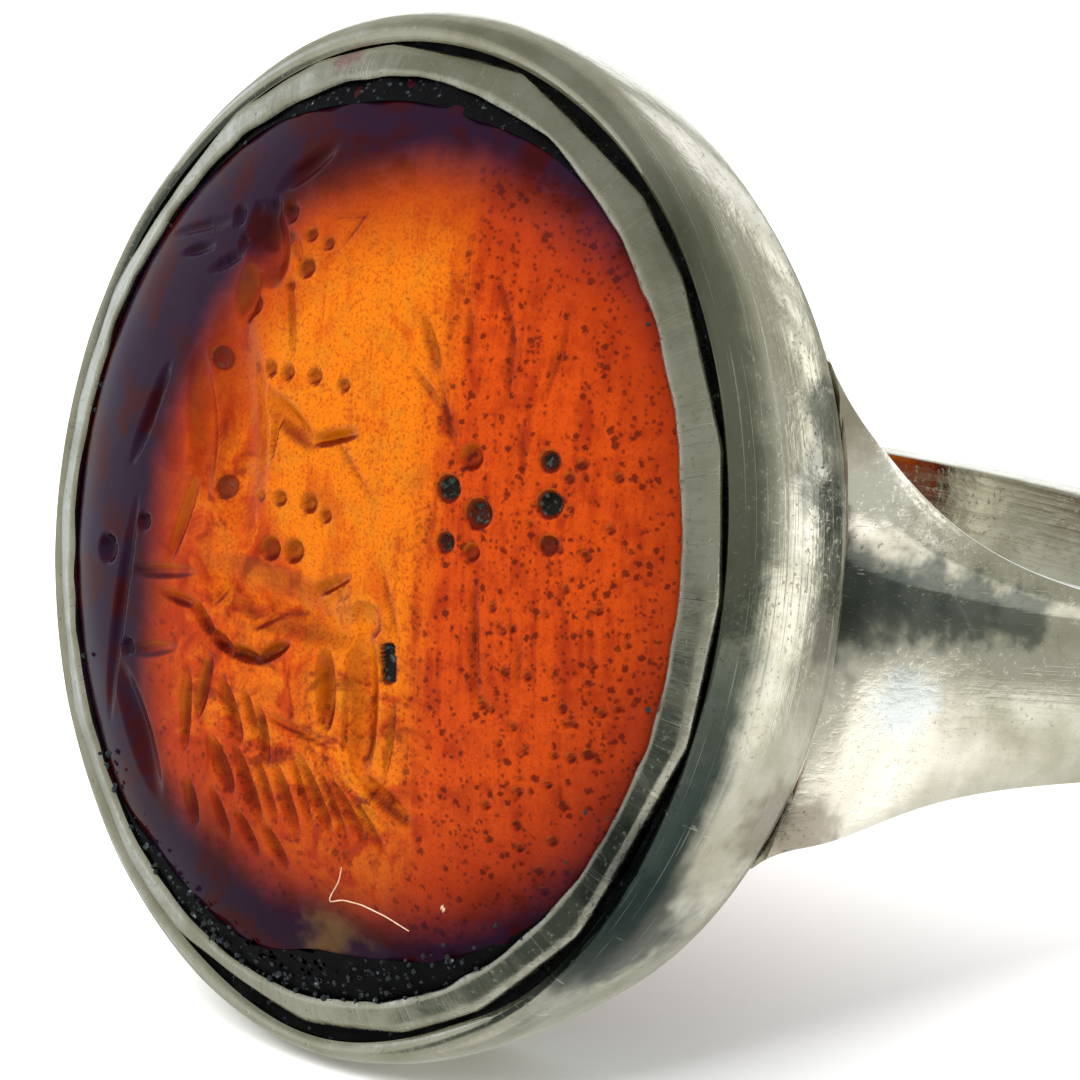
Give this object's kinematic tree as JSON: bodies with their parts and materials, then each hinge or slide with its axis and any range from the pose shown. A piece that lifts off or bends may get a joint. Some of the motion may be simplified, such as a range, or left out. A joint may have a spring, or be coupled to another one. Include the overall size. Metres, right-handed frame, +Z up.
{
  "type": "intaglio gem set in a silver signet ring",
  "caption": "Oval orange cabochon intaglio gem in a thin collet, set in the open-backed oval head of a tarnished silver finger ring.",
  "frame": {"origin": "on the surface the ring lies on, under the middle of its bounding box", "axes": "-Y out of the front, the way the stone faces once its lean is left out; +Y towards the back of the hoop; +X across the ring; +Z up, with the finger axis leaning 17.7 degrees back from it"},
  "size_m": [0.0206, 0.023, 0.0164],
  "materials": {
    "stone": "polished translucent orange sard or carnelian, with the carving left slightly matt",
    "silver": "worn silver with grey-green tarnish, file marks and black residue in the recesses"
  },
  "bodies": {
    "root": {"intaglio_stone": "stone", "collet": "silver", "ring_head": "silver", "hoop": "silver"}
  },
  "joints": []
}
